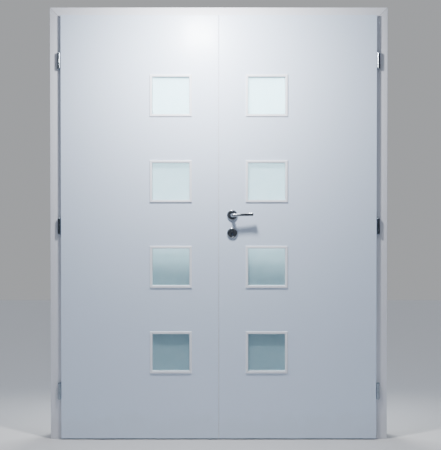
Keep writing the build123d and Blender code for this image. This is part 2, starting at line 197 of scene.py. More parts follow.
# %% Light
world = bpy.data.worlds.new("studio_air")
world.use_nodes = True
air = world.node_tree
backdrop = air.nodes["Background"]
backdrop.inputs["Color"].default_value = (0.80, 0.82, 0.85, 1.0)
backdrop.inputs["Strength"].default_value = 0.5
around = air.nodes.new("ShaderNodeBackground")
around.inputs["Strength"].default_value = 1.7
heading = air.nodes.new("ShaderNodeTexCoord")
split_heading = air.nodes.new("ShaderNodeSeparateXYZ")
around_tone = air.nodes.new("ShaderNodeValToRGB")
around_tone.color_ramp.elements[0].position = 0.30
around_tone.color_ramp.elements[0].color = (0.030, 0.034, 0.042, 1.0)
around_tone.color_ramp.elements[1].position = 0.95
around_tone.color_ramp.elements[1].color = (0.62, 0.66, 0.72, 1.0)
seen = air.nodes.new("ShaderNodeLightPath")
either = air.nodes.new("ShaderNodeMixShader")
air.links.new(heading.outputs["Generated"], split_heading.inputs[0])
air.links.new(split_heading.outputs["Z"], around_tone.inputs["Fac"])
air.links.new(around_tone.outputs["Color"], around.inputs["Color"])
air.links.new(seen.outputs["Is Camera Ray"], either.inputs["Fac"])
air.links.new(around.outputs["Background"], either.inputs[1])
air.links.new(backdrop.outputs["Background"], either.inputs[2])
air.links.new(either.outputs["Shader"], air.nodes["World Output"].inputs["Surface"])
bpy.context.scene.world = world


def lamp(name, place, aim, size, watts, colour):
    """A lamp of a width and a height at a place, turned to a point, that the camera doesn't see."""
    data = bpy.data.lights.new(name, "AREA")
    data.shape = "RECTANGLE"
    data.size, data.size_y = size
    data.energy = watts
    data.color = colour
    made = bpy.data.objects.new(name, data)
    made.location = place
    made.rotation_euler = (Vector(aim) - Vector(place)).to_track_quat("-Z", "Y").to_euler()
    made.visible_camera = False
    bpy.context.scene.collection.objects.link(made)


lamp(
    "key_lamp",
    place=(-0.10, -0.60, 2.00),
    aim=(0.0, 0.0, 1.3),
    size=(0.16, 0.16),
    watts=32.0,
    colour=(1.0, 0.99, 0.98),
)
lamp(
    "front_lamp",
    place=(0.0, -3.2, 2.6),
    aim=(0.0, 0.0, 1.0),
    size=(2.4, 2.4),
    watts=4.0,
    colour=(0.97, 0.98, 1.0),
)
back_distance = 1.1
back_white = (0.97, 1.0, 1.0)
for name, side in (("left", -1.0), ("right", 1.0)):
    lamp_x, aim_x = 0.28 * side, 0.23 * side
    lamp(
        "back_high_" + name,
        place=(lamp_x, back_distance, 1.76),
        aim=(aim_x, 0.0, 1.62),
        size=(0.5, 0.42),
        watts=21.0,
        colour=back_white,
    )
    lamp(
        "back_low_" + name,
        place=(lamp_x, back_distance, 1.12),
        aim=(aim_x, 0.0, 1.12),
        size=(0.5, 0.62),
        watts=8.0,
        colour=back_white,
    )
print("lamps:", [o.name for o in bpy.data.objects if o.type == "LIGHT"])

# %% [markdown]
# ## Shared effects as node groups
#
# Several finishes need the same effect, so each effect is a node group, made once and placed in
# each material with its own values. A group hands out colours, values and heights that change over
# the surface. The shader itself, and anything that is the same all over, stays in the material. All
# patterns read Object coordinates, which here are the door's own metres, so a pattern stays on its
# piece when a leaf swings.

# %% Helpers for node trees


def new_group(name, inputs, outputs):
    """An empty node group with named sockets: each is a name, a kind and, for an input, its value."""
    group = bpy.data.node_groups.new(name, "ShaderNodeTree")
    for socket_name, kind, value in inputs:
        socket = group.interface.new_socket(socket_name, in_out="INPUT", socket_type="NodeSocket" + kind)
        socket.default_value = value
    for socket_name, kind in outputs:
        group.interface.new_socket(socket_name, in_out="OUTPUT", socket_type="NodeSocket" + kind)
    return group, group.nodes.new("NodeGroupInput"), group.nodes.new("NodeGroupOutput")


def add(tree, kind, links=(), **settings):
    """Add a node, set its properties, and fill its inputs by number or name from values or sockets."""
    node = tree.nodes.new("ShaderNode" + kind)
    for name, value in settings.items():
        setattr(node, name, value)
    for key, value in dict(links).items():
        if isinstance(value, bpy.types.NodeSocket):
            tree.links.new(value, node.inputs[key])
        else:
            node.inputs[key].default_value = value
    return node


def maths(tree, operation, first, second=0.0):
    """One Math node and its output."""
    return add(tree, "Math", {0: first, 1: second}, operation=operation).outputs[0]


def ramp(tree, value, low, high):
    """A smooth step from 0 at low to 1 at high."""
    links = {"Value": value, "From Min": low, "From Max": high}
    return add(tree, "MapRange", links, interpolation_type="SMOOTHSTEP").outputs["Result"]


def mix_colour(tree, share, first, second, blend="MIX"):
    """Mix two colours by a share."""
    node = add(tree, "Mix", {0: share}, data_type="RGBA", blend_type=blend)
    for number, value in ((6, first), (7, second)):
        if isinstance(value, bpy.types.NodeSocket):
            tree.links.new(value, node.inputs[number])
        else:
            node.inputs[number].default_value = value
    return node.outputs[2]


def noise(tree, place, scale, detail=2.0, roughness=0.5):
    """A noise pattern of a number of cells to the metre."""
    links = {"Vector": place, "Scale": scale, "Detail": detail, "Roughness": roughness}
    return add(tree, "TexNoise", links).outputs["Fac"]


print("node helpers ready")

# %% [markdown]
# Sprayed lacquer is never quite flat. Up close it has the fine waves called orange peel, here about
# 3 mm from crest to crest, and over a whole leaf its tone and gloss drift a little. Near the floor
# it picks up dust.

# %% Lacquer film
film, film_in, film_out = new_group(
    "lacquer_film",
    [
        ("Colour", "Color", (0.8, 0.8, 0.8, 1.0)),
        ("Drift", "Float", 0.02),
        ("Gloss", "Float", 0.35),
        ("Dust", "Float", 0.1),
    ],
    [("Colour", "Color"), ("Roughness", "Float"), ("Height", "Float")],
)
dust_colour = (0.42, 0.40, 0.37, 1.0)
dust_reach = 0.22

film_place = add(film, "TexCoord").outputs["Object"]
film_xyz = add(film, "SeparateXYZ", {0: film_place})
slow = noise(film, film_place, 1.7, 3.0)
cloud = noise(film, film_place, 14.0, 4.0, 0.6)
peel = noise(film, film_place, 330.0, 1.0)
grit = noise(film, film_place, 1500.0, 1.0)
drift = maths(film, "MULTIPLY", maths(film, "SUBTRACT", slow, 0.5), film_in.outputs["Drift"])
tone = maths(film, "ADD", drift, 1.0)
toned = add(film, "VectorMath", {0: film_in.outputs["Colour"], 3: tone}, operation="SCALE").outputs[0]
near_floor = ramp(film, film_xyz.outputs["Z"], dust_reach, 0.0)
dust_edge = ramp(film, maths(film, "ADD", cloud, near_floor), 0.75, 1.35)
dust = maths(film, "MULTIPLY", dust_edge, film_in.outputs["Dust"])
dusted = mix_colour(film, dust, toned, dust_colour)
film.links.new(dusted, film_out.inputs["Colour"])
handled = maths(film, "MULTIPLY", maths(film, "SUBTRACT", cloud, 0.5), 0.10)
dull = maths(film, "MULTIPLY", dust, 0.5)
roughness = maths(film, "ADD", maths(film, "ADD", film_in.outputs["Gloss"], handled), dull)
film.links.new(roughness, film_out.inputs["Roughness"])
height = maths(film, "ADD", peel, maths(film, "MULTIPLY", grit, 0.12))
film.links.new(height, film_out.inputs["Height"])
print("group", film.name, len(film.nodes), "nodes")

# %% [markdown]
# Where two lengths of moulding meet at a mitre, the joint shows as a hairline. One group draws it
# for any square frame: it takes a piece's distance across and along from the frame's corner, and
# darkens where the two are equal.

# %% Mitre hairline
mitre, mitre_in, mitre_out = new_group(
    "mitre_hairline",
    [("Across", "Float", 0.0), ("Along", "Float", 0.0), ("Width", "Float", 0.0004)],
    [("Line", "Float")],
)
across, along = mitre_in.outputs["Across"], mitre_in.outputs["Along"]
apart = maths(mitre, "ABSOLUTE", maths(mitre, "SUBTRACT", across, along))
line = maths(mitre, "SUBTRACT", 1.0, ramp(mitre, apart, 0.0, mitre_in.outputs["Width"]))
mitre.links.new(line, mitre_out.inputs["Line"])
print("group", mitre.name, len(mitre.nodes), "nodes")

# %% [markdown]
# Drawn or ground metal carries fine scratches along its length, and plated metal is smoother but
# marked by hands. The group stretches a noise along one axis for the scratches, and adds soft
# smudges that only change the gloss.

# %% Metal marks
marks, marks_in, marks_out = new_group(
    "metal_marks",
    [
        ("Colour", "Color", (0.5, 0.5, 0.5, 1.0)),
        ("Stretch", "Vector", (1.0, 1.0, 1.0)),
        ("Gloss", "Float", 0.2),
        ("Scratch", "Float", 0.1),
        ("Smudge", "Float", 0.1),
    ],
    [("Colour", "Color"), ("Roughness", "Float"), ("Height", "Float")],
)
marks_place = add(marks, "TexCoord").outputs["Object"]
stretched = {0: marks_place, 1: marks_in.outputs["Stretch"]}
drawn = add(marks, "VectorMath", stretched, operation="MULTIPLY").outputs[0]
scratch = noise(marks, drawn, 900.0, 4.0, 0.65)
smudge = noise(marks, marks_place, 70.0, 3.0, 0.55)
scratched = maths(marks, "MULTIPLY", maths(marks, "SUBTRACT", scratch, 0.5), marks_in.outputs["Scratch"])
smudged = maths(marks, "MULTIPLY", ramp(marks, smudge, 0.45, 0.7), marks_in.outputs["Smudge"])
dulled = maths(marks, "MULTIPLY", smudged, 0.4)
marks_tone = maths(marks, "SUBTRACT", maths(marks, "ADD", 1.0, scratched), dulled)
toned_metal = {0: marks_in.outputs["Colour"], 3: marks_tone}
marks_colour = add(marks, "VectorMath", toned_metal, operation="SCALE").outputs[0]
marks.links.new(marks_colour, marks_out.inputs["Colour"])
marks_rough = maths(marks, "ADD", maths(marks, "ADD", marks_in.outputs["Gloss"], smudged), scratched)
marks.links.new(maths(marks, "MAXIMUM", marks_rough, 0.04), marks_out.inputs["Roughness"])
marks.links.new(scratch, marks_out.inputs["Height"])
print("group", marks.name, len(marks.nodes), "nodes")

# %% [markdown]
# ## Finishes
#
# Each material slot of the door gets one finish. A finish is a Principled shader whose colour,
# gloss and fine relief come from a group, while what is the same all over, such as the clear coat,
# is set straight on the shader.

# %% Helpers for finishes


def new_finish(name, **constants):
    """A material with a Principled shader, and the shader's plain values set by socket name."""
    material = bpy.data.materials.new(name)
    material.use_nodes = True
    shader = material.node_tree.nodes["Principled BSDF"]
    for socket_name, value in constants.items():
        shader.inputs[socket_name.replace("_", " ")].default_value = value
    return material, material.node_tree, shader


def place_group(tree, group, **values):
    """Place a node group in a material with its own values."""
    node = tree.nodes.new("ShaderNodeGroup")
    node.node_tree = group
    for name, value in values.items():
        if isinstance(value, bpy.types.NodeSocket):
            tree.links.new(value, node.inputs[name])
        else:
            node.inputs[name].default_value = value
    return node


def relief(tree, shader, height, distance, strength):
    """Feed a height to the shader's normal."""
    links = {"Height": height, "Distance": distance, "Strength": strength}
    tree.links.new(add(tree, "Bump", links).outputs["Normal"], shader.inputs["Normal"])


def object_xyz(tree):
    """The place on the door, in metres, split into its three axes."""
    return add(tree, "SeparateXYZ", {0: add(tree, "TexCoord").outputs["Object"]}).outputs


finishes = {}
print("finish helpers ready")

# %% [markdown]
# The leaves are a cool satin white. The frame is the same lacquer, a little more neutral, with a
# hairline along each mitre. The glazing beads repeat at every window, so their corners are found by
# folding the height with a modulo.

# %% Lacquered finishes
window_offset = 0.224
window_lowest = 0.410
window_pitch = 0.400
frame_half = 0.790
frame_top = 2.022
seam_colour = (0.30, 0.30, 0.31, 1.0)

leaf_white, tree, shader = new_finish("leaf_lacquer", Coat_Weight=0.12, Coat_Roughness=0.18)
coat = place_group(tree, film, Colour=(0.63, 0.73, 0.89, 1.0), Drift=0.03, Gloss=0.36, Dust=0.10)
tree.links.new(coat.outputs["Colour"], shader.inputs["Base Color"])
tree.links.new(coat.outputs["Roughness"], shader.inputs["Roughness"])
relief(tree, shader, coat.outputs["Height"], 0.00004, 0.5)
finishes["leaf_lacquer"] = leaf_white

frame_white, tree, shader = new_finish("frame_lacquer", Coat_Weight=0.10, Coat_Roughness=0.2)
coat = place_group(tree, film, Colour=(0.68, 0.70, 0.77, 1.0), Drift=0.03, Gloss=0.38, Dust=0.16)
x, y, z = object_xyz(tree)
from_side = maths(tree, "SUBTRACT", frame_half, maths(tree, "ABSOLUTE", x))
from_top = maths(tree, "SUBTRACT", frame_top, z)
seam = place_group(tree, mitre, Across=from_side, Along=from_top, Width=0.0022).outputs["Line"]
seam_share = maths(tree, "MULTIPLY", seam, 0.8)
tree.links.new(mix_colour(tree, seam_share, coat.outputs["Colour"], seam_colour), shader.inputs["Base Color"])
tree.links.new(coat.outputs["Roughness"], shader.inputs["Roughness"])
relief(tree, shader, coat.outputs["Height"], 0.00004, 0.5)
finishes["frame_lacquer"] = frame_white

bead_white, tree, shader = new_finish("bead_lacquer", Coat_Weight=0.15, Coat_Roughness=0.16)
coat = place_group(tree, film, Colour=(0.78, 0.81, 0.89, 1.0), Drift=0.03, Gloss=0.34, Dust=0.06)
x, y, z = object_xyz(tree)
from_middle = maths(tree, "ABSOLUTE", maths(tree, "SUBTRACT", maths(tree, "ABSOLUTE", x), window_offset))
rise = maths(tree, "ADD", maths(tree, "SUBTRACT", z, window_lowest), 1.5 * window_pitch)
folded = maths(tree, "SUBTRACT", maths(tree, "MODULO", rise, window_pitch), window_pitch / 2)
seam = place_group(tree, mitre, Across=from_middle, Along=maths(tree, "ABSOLUTE", folded), Width=0.0007)
seam_share = maths(tree, "MULTIPLY", seam.outputs["Line"], 0.45)
tree.links.new(mix_colour(tree, seam_share, coat.outputs["Colour"], seam_colour), shader.inputs["Base Color"])
tree.links.new(coat.outputs["Roughness"], shader.inputs["Roughness"])
relief(tree, shader, coat.outputs["Height"], 0.00003, 0.4)
finishes["bead_lacquer"] = bead_white
print("lacquers:", sorted(finishes))

# %% [markdown]
# The panes are acid-etched glass: milky, a cool blue-green, with a very fine tooth. More than half
# of the light passes through and is spread, and the rest comes back from the etched face, so the
# panes show the light on both sides of the door.

# %% Frosted glass
glass, tree, shader = new_finish("frosted_glass", Transmission_Weight=0.6, IOR=1.5, Metallic=0.0)
place = add(tree, "TexCoord").outputs["Object"]
etch = noise(tree, place, 900.0, 2.0)
mottle = noise(tree, place, 22.0, 3.0)
tint = mix_colour(tree, ramp(tree, mottle, 0.3, 0.7), (0.40, 0.62, 0.70, 1.0), (0.44, 0.65, 0.73, 1.0))
tree.links.new(tint, shader.inputs["Base Color"])
tooth = maths(tree, "ADD", 0.28, maths(tree, "MULTIPLY", mottle, 0.06))
tree.links.new(tooth, shader.inputs["Roughness"])
relief(tree, shader, etch, 0.00002, 0.3)
finishes["frosted_glass"] = glass
print("glass:", glass.name)

# %% [markdown]
# The lever and roses are polished nickel, the hinges a darker nickel plate, and the lock's parts
# plain ground steel. They share one group and differ in colour, gloss, and the direction and depth
# of their scratches.

# %% Metals
# Colour, stretch of the scratches, gloss, depth of the scratches and of the smudges
metal_values = {
    "handle_metal": ((0.40, 0.43, 0.47, 1.0), (1.0, 1.0, 1.0), 0.20, 0.04, 0.05),
    "hinge_steel": ((0.33, 0.38, 0.44, 1.0), (1.0, 1.0, 0.12), 0.16, 0.08, 0.10),
    "lock_steel": ((0.56, 0.57, 0.58, 1.0), (1.0, 1.0, 0.05), 0.30, 0.22, 0.10),
}
for name, (colour, stretch, gloss, scratches, smudges) in metal_values.items():
    metal, tree, shader = new_finish(name, Metallic=1.0)
    coat = place_group(
        tree, marks, Colour=colour, Stretch=stretch, Gloss=gloss, Scratch=scratches, Smudge=smudges
    )
    tree.links.new(coat.outputs["Colour"], shader.inputs["Base Color"])
    tree.links.new(coat.outputs["Roughness"], shader.inputs["Roughness"])
    relief(tree, shader, coat.outputs["Height"], 0.000006, 0.4)
    finishes[name] = metal
print("metals:", list(metal_values))

# %% [markdown]
# The seals are pale grey rubber with a dusty bloom. The core inside each leaf is chipboard, which
# nobody sees on a finished door, but it still gets its flakes: cells of several browns, stretched a
# little, with darker gaps.

# %% Rubber and chipboard
rubber, tree, shader = new_finish("seal_rubber", Specular_IOR_Level=0.3)
place = add(tree, "TexCoord").outputs["Object"]
bloom = noise(tree, place, 60.0, 4.0, 0.6)
pores = noise(tree, place, 1200.0, 2.0)
shade = mix_colour(tree, ramp(tree, bloom, 0.35, 0.75), (0.66, 0.69, 0.74, 1.0), (0.76, 0.78, 0.82, 1.0))
tree.links.new(shade, shader.inputs["Base Color"])
tree.links.new(maths(tree, "ADD", 0.55, maths(tree, "MULTIPLY", bloom, 0.25)), shader.inputs["Roughness"])
relief(tree, shader, pores, 0.00004, 0.5)
finishes["seal_rubber"] = rubber

board, tree, shader = new_finish("core_board", Specular_IOR_Level=0.2)
place = add(tree, "TexCoord").outputs["Object"]
flakes = add(tree, "TexVoronoi", {"Vector": place, "Scale": 260.0, "Randomness": 1.0})
grain = noise(tree, place, 520.0, 4.0, 0.6)
tone = add(tree, "SeparateColor", {0: flakes.outputs["Color"]}).outputs[0]
flake = mix_colour(tree, tone, (0.42, 0.27, 0.14, 1.0), (0.66, 0.48, 0.29, 1.0))
gap = ramp(tree, flakes.outputs["Distance"], 0.45, 0.9)
chip = mix_colour(tree, maths(tree, "MULTIPLY", gap, 0.6), flake, (0.20, 0.12, 0.06, 1.0))
pale = maths(tree, "MULTIPLY", grain, 0.25)
tree.links.new(mix_colour(tree, pale, chip, (0.72, 0.56, 0.36, 1.0)), shader.inputs["Base Color"])
tree.links.new(maths(tree, "ADD", 0.6, maths(tree, "MULTIPLY", grain, 0.3)), shader.inputs["Roughness"])
relief(tree, shader, grain, 0.0003, 0.6)
finishes["core_board"] = board
print("finishes:", sorted(finishes))

# %% [markdown]
# Every solid names its slot in the record, so the finishes are put on in one loop.

# %% Put the finishes on the solids
for part in frame["record"]["subparts"]:
    solid = nodes[part["node"]]
    solid.data.materials.clear()
    solid.data.materials.append(finishes[part["material_slot"]])
print("finished solids:", len(frame["record"]["subparts"]))

# %% [markdown]
# ## Modelling by hand
#
# The next pieces are modelled the way one would at the screen: add a primitive at its size and
# place, go into edit mode, select by place or direction, and extrude, inset, spin, bisect or bevel.
# A few small helpers do the clicking: one clears the selection, one selects parts of the mesh by a
# test on their corners, some extrude, scale and clean up, and the last one leaves edit mode and
# hands the piece over with its body, its finish and the solid that it stands for.

# %% Helpers for modelling


touch = 1e-5
merge_distance = 0.000005


def start_edit(kind):
    """Go into edit mode on the new primitive, with one kind of element to select."""
    bpy.ops.object.mode_set(mode="EDIT")
    bpy.ops.mesh.select_mode(type=kind)


def nothing_selected():
    """Leave edit mode and deselect every object, because an operator acts on all that is selected."""
    if bpy.context.object is not None and bpy.context.object.mode != "OBJECT":
        bpy.ops.object.mode_set(mode="OBJECT")
    bpy.ops.object.select_all(action="DESELECT")


def pick(kind, test):
    """Select only the vertices, edges or faces whose corners all pass a test on their place."""
    bpy.ops.mesh.select_mode(type={"verts": "VERT", "edges": "EDGE", "faces": "FACE"}[kind])
    bpy.ops.mesh.select_all(action="DESELECT")
    mesh = bmesh.from_edit_mesh(bpy.context.object.data)
    for item in getattr(mesh, kind):
        corners = [item] if kind == "verts" else item.verts
        item.select_set(all(test(corner.co) for corner in corners))
    bmesh.update_edit_mesh(bpy.context.object.data)


def near(value, wanted):
    """Whether two lengths are the same to a hundredth of a millimetre."""
    return abs(value - wanted) < touch


def push(x, y, z):
    """Extrude what is selected and move it."""
    bpy.ops.mesh.extrude_region_move(TRANSFORM_OT_translate={"value": (x, y, z)})


def shrink(factors, middle):
    """Scale what is selected about a point."""
    bpy.ops.transform.resize(value=factors, center_override=middle)


def close_up():
    """Merge doubles and point all faces outwards."""
    bpy.ops.mesh.select_all(action="SELECT")
    bpy.ops.mesh.remove_doubles(threshold=merge_distance)
    bpy.ops.mesh.normals_make_consistent(inside=False)


def hand_over(name, body, slot, stands_for, smooth_angle=35.0):
    """Leave edit mode, put the place into the mesh, shade it and tie it to its body, slot and solid."""
    bpy.ops.object.mode_set(mode="OBJECT")
    piece = bpy.context.object
    piece.name = name
    bpy.ops.object.transform_apply(location=True, rotation=True, scale=True)
    bpy.ops.object.shade_smooth_by_angle(angle=radians(smooth_angle))
    piece.data.materials.clear()
    piece.data.materials.append(finishes[slot])
    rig.ride(piece, body)
    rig.slot(piece, slot)
    for node in stands_for:
        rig.replaces(piece, node)
    print(name, "faces", len(piece.data.polygons), "on", body)
    return piece


print("modelling helpers ready")

# %% [markdown]
# ## Lever handle
#
# The lever is a cast bar: a round neck comes straight out of the rose, turns through a tight elbow
# and runs on as a flatter blade that widens a little at its tip. A curve with a bevel would keep
# one section all along, so the bar is drawn as a ring instead: extrude the ring for the neck, spin
# it for the elbow, then extrude and scale it step by step along the blade. The blade is nearly
# square in section, so from there on each ring's four sides are flattened. Subdivision rounds it
# off. The blade rises slightly, as it does in the photograph.

# %% Front lever
leaf_front = -0.017
leaf_back = 0.023
leaf_middle = (leaf_front + leaf_back) / 2
lever_x = 0.063
lever_z = 1.052
neck_radius = 0.0085
neck_sink = 0.002
neck_foot = 0.010
neck_end = -0.051
elbow_radius = 0.009
blade_rise = 0.0437
blade_square_from = 0.030
corner_share = 0.6

# Along the blade: distance from the neck, distance from the leaf, half its depth and half its height
blade_steps = (
    (0.020, 0.0428, 0.0082, 0.0074),
    (0.036, 0.0432, 0.0071, 0.0067),
    (0.062, 0.0418, 0.0064, 0.0070),
    (0.084, 0.0418, 0.0078, 0.0079),
    (0.094, 0.0420, 0.0096, 0.0083),
    (0.0970, 0.0420, 0.0094, 0.0080),
    (0.0980, 0.0420, 0.0080, 0.0066),
)


def square_ring(middle, half_deep, half_high):
    """Flatten the four sides of the ring at a place on the blade, and select the whole ring again."""
    for side in (-1.0, 1.0):
        pick("verts", lambda co: near(co.x, middle.x) and (co.z - middle.z) * side > corner_share * half_high)
        shrink((1.0, 1.0, 0.0), (middle.x, middle.y, middle.z + side * half_high))
        pick("verts", lambda co: near(co.x, middle.x) and (co.y - middle.y) * side > corner_share * half_deep)
        shrink((1.0, 0.0, 1.0), (middle.x, middle.y + side * half_deep, middle.z))
    pick("edges", lambda co: near(co.x, middle.x))


nothing_selected()
bpy.ops.mesh.primitive_circle_add(
    vertices=16,
    radius=neck_radius,
    location=(lever_x, leaf_front - neck_sink, lever_z),
    rotation=(pi / 2, 0.0, 0.0),
)
bpy.ops.object.transform_apply(location=True, rotation=True, scale=True)
start_edit("EDGE")
bpy.ops.mesh.select_all(action="SELECT")
push(0.0, -neck_foot, 0.0)
push(0.0, neck_end - leaf_front + neck_sink + neck_foot, 0.0)
elbow_middle = (lever_x + elbow_radius, neck_end, lever_z)
bpy.ops.mesh.spin(steps=6, angle=pi / 2, center=elbow_middle, axis=(0.0, 0.0, -1.0))
here = Vector((lever_x + elbow_radius, neck_end - elbow_radius, lever_z))
deep = high = neck_radius
for along, away, half_deep, half_high in blade_steps:
    there = Vector((lever_x + along, leaf_front - away, lever_z + along * blade_rise))
    push(*(there - here))
    shrink((1.0, half_deep / deep, half_high / high), there)
    if along > blade_square_from:
        square_ring(there, half_deep, half_high)
    here, deep, high = there, half_deep, half_high
bpy.ops.mesh.select_all(action="DESELECT")
bpy.ops.mesh.select_non_manifold()
bpy.ops.mesh.edge_face_add()
close_up()
bpy.ops.object.mode_set(mode="OBJECT")
rounding = bpy.context.object.modifiers.new("rounding", "SUBSURF")
rounding.levels = rounding.render_levels = 2
bpy.ops.object.modifier_apply(modifier=rounding.name)
lever_front = hand_over("lever_handle_front", "lever_set", "handle_metal", ["lever_front"], 60.0)
print("the solid lever spans", [[round(v, 4) for v in corner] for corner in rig.box("lever_front")])

# %% [markdown]
# The handle on the other face is the same casting seen in a mirror that stands in the middle of the
# leaf. A mirrored mesh is inside out, so its normals are worked out again.

# %% Back lever


def mirrored_copy(piece, factors, middle):
    """A copy of a piece with its own mesh, mirrored about a point and left in edit mode."""
    nothing_selected()
    piece.select_set(True)
    bpy.context.view_layer.objects.active = piece
    bpy.ops.object.duplicate(linked=False)
    for key in [key for key in bpy.context.object.keys() if key.startswith("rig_")]:
        del bpy.context.object[key]
    start_edit("VERT")
    bpy.ops.mesh.select_all(action="SELECT")
    shrink(factors, middle)
    close_up()


mirrored_copy(lever_front, (1.0, -1.0, 1.0), (0.0, leaf_middle, 0.0))
hand_over("lever_handle_back", "lever_set", "handle_metal", ["lever_back"], 60.0)

# %% [markdown]
# ## Roses
#
# A rose is the round cover that hides the hole in the leaf: a pressed dish with a rolled rim, a
# shallow step inside it and, on the lever's rose, an opening for the neck. It starts as a filled
# circle on the leaf's face, which is extruded to its thickness. Insets then draw the step and the
# opening, and one bevel rolls the rim.

# %% Lever roses
rose_radius = 0.025
rose_thickness = 0.008
rose_roll = 0.0040
rose_land = 0.0064
rose_step = 0.0009
step_slope = 0.0005
neck_opening = 0.0092
neck_pocket = 0.005


def start_rose(height):
    """A disc on the leaf's front with a stepped face; the middle face stays selected."""
    nothing_selected()
    bpy.ops.mesh.primitive_circle_add(
        vertices=64,
        radius=rose_radius,
        fill_type="NGON",
        location=(lever_x, leaf_front, height),
        rotation=(pi / 2, 0.0, 0.0),
    )
    bpy.ops.object.transform_apply(location=True, rotation=True, scale=True)
    start_edit("FACE")
    bpy.ops.mesh.select_all(action="SELECT")
    push(0.0, -rose_thickness, 0.0)
    bpy.ops.mesh.inset(thickness=rose_land, depth=0.0)
    bpy.ops.mesh.inset(thickness=step_slope, depth=-rose_step)


def roll_rim(height):
    """Bevel the outer front edge of a rose."""
    front = leaf_front - rose_thickness

    def on_rim(co):
        from_axis = ((co.x - lever_x) ** 2 + (co.z - height) ** 2) ** 0.5
        return near(co.y, front) and from_axis > rose_radius - 10 * touch

    pick("edges", on_rim)
    bpy.ops.mesh.bevel(offset=rose_roll, segments=5, profile=0.5, affect="EDGES")


start_rose(lever_z)
rose_field = rose_radius - rose_land - step_slope
bpy.ops.mesh.inset(thickness=rose_field - neck_opening, depth=0.0)
push(0.0, neck_pocket, 0.0)
roll_rim(lever_z)
close_up()
rose_front = hand_over("lever_rose_front", "right_leaf", "handle_metal", ["rose_front"])
mirrored_copy(rose_front, (1.0, -1.0, 1.0), (0.0, leaf_middle, 0.0))
hand_over("lever_rose_back", "right_leaf", "handle_metal", ["rose_back"])

# %% [markdown]
# The key rose below has the same dish with a keyhole through it. A keyhole is a round head over a
# slot, so its cutter is made of a disc and a bar, both extruded through the rose, and taken away
# with a Boolean modifier.

# %% Key roses
key_z = 0.968
key_half_height = 0.009
key_head_radius = 0.0045
key_head_z = key_z + key_half_height - key_head_radius
key_slot_width = 0.006
key_foot_z = key_z - key_half_height
cutter_start = leaf_front + 0.004
cutter_end = leaf_front - 0.012


def cutter_from_selection():
    """Extrude the selected face through the rose and leave a closed cutter."""
    push(0.0, cutter_end - cutter_start, 0.0)
    close_up()
    bpy.ops.object.mode_set(mode="OBJECT")
    return bpy.context.object


def cut_with(piece, cutter):
    """Take a closed cutter away from a piece, and remove the cutter."""
    nothing_selected()
    piece.select_set(True)
    bpy.context.view_layer.objects.active = piece
    cut = piece.modifiers.new("cut", "BOOLEAN")
    cut.operation = "DIFFERENCE"
    cut.solver = "EXACT"
    cut.object = cutter
    bpy.ops.object.modifier_apply(modifier=cut.name)
    bpy.data.meshes.remove(cutter.data)


nothing_selected()
bpy.ops.mesh.primitive_circle_add(
    vertices=40,
    radius=key_head_radius,
    fill_type="NGON",
    location=(lever_x, cutter_start, key_head_z),
    rotation=(pi / 2, 0.0, 0.0),
)
bpy.ops.object.transform_apply(location=True, rotation=True, scale=True)
start_edit("FACE")
bpy.ops.mesh.select_all(action="SELECT")
head_cutter = cutter_from_selection()
nothing_selected()
bpy.ops.mesh.primitive_plane_add(
    size=1.0,
    location=(lever_x, cutter_start, (key_foot_z + key_head_z) / 2),
    rotation=(pi / 2, 0.0, 0.0),
)
bpy.context.object.scale = (key_slot_width, key_head_z - key_foot_z, 1.0)
bpy.ops.object.transform_apply(location=True, rotation=True, scale=True)
start_edit("FACE")
bpy.ops.mesh.select_all(action="SELECT")
slot_cutter = cutter_from_selection()

start_rose(key_z)
roll_rim(key_z)
close_up()
key_rose = bpy.context.object
cut_with(key_rose, head_cutter)
cut_with(key_rose, slot_cutter)
key_rose_front = hand_over("key_rose_plate_front", "right_leaf", "handle_metal", ["key_rose_front"])
mirrored_copy(key_rose_front, (1.0, -1.0, 1.0), (0.0, leaf_middle, 0.0))
hand_over("key_rose_plate_back", "right_leaf", "handle_metal", ["key_rose_back"])

# %% [markdown]
# Looking into a keyhole one doesn't see daylight. Behind it, inside the lock case, sits the
# curtain: a small steel drum that turns with the key and screens the works. It is a disc, extruded
# to its thickness, with a blunt cone raised on both faces by an inset. The slope throws what light
# comes in aside into the case, so the keyhole looks black.

# %% Lock curtain
curtain_radius = 0.0105
curtain_depth = 0.0040
curtain_front = leaf_middle - curtain_depth / 2
curtain_rim = 0.0012
cone_base = 0.0082
cone_height = 0.0050

nothing_selected()
bpy.ops.mesh.primitive_circle_add(
    vertices=36,
    radius=curtain_radius,
    fill_type="NGON",
    location=(lever_x, curtain_front + curtain_depth, key_z),
    rotation=(pi / 2, 0.0, 0.0),
)
bpy.ops.object.transform_apply(location=True, rotation=True, scale=True)
start_edit("FACE")
bpy.ops.mesh.select_all(action="SELECT")
push(0.0, -curtain_depth, 0.0)
close_up()
for face_y in (curtain_front, curtain_front + curtain_depth):
    pick("faces", lambda co: near(co.y, face_y))
    bpy.ops.mesh.inset(thickness=curtain_rim, depth=0.0)
    bpy.ops.mesh.inset(thickness=cone_base, depth=cone_height)
close_up()
hand_over("lock_curtain", "right_leaf", "lock_steel", [])

# %% [markdown]
# ## Mitred casings
#
# The frame's casings are planed boards that meet in a mitre at each top corner. A joiner eases
# every edge a little, and the two eased edges make the fine groove that shows as a line across the
# corner. Each board starts as a cube of the board's size. The front casing gets its rebate strip by
# a bisect along its back and an extrusion. A bisect at 45 degrees cuts the mitre, and bevels ease
# the edges. The right jamb is the left one mirrored. The head has a square socket underneath, cut
# with a block, which the left leaf's upper flush bolt slides up into.

# %% Helpers for boards
board_round = 0.0015
mitre_ease = 0.0008
flat_angle = 0.5


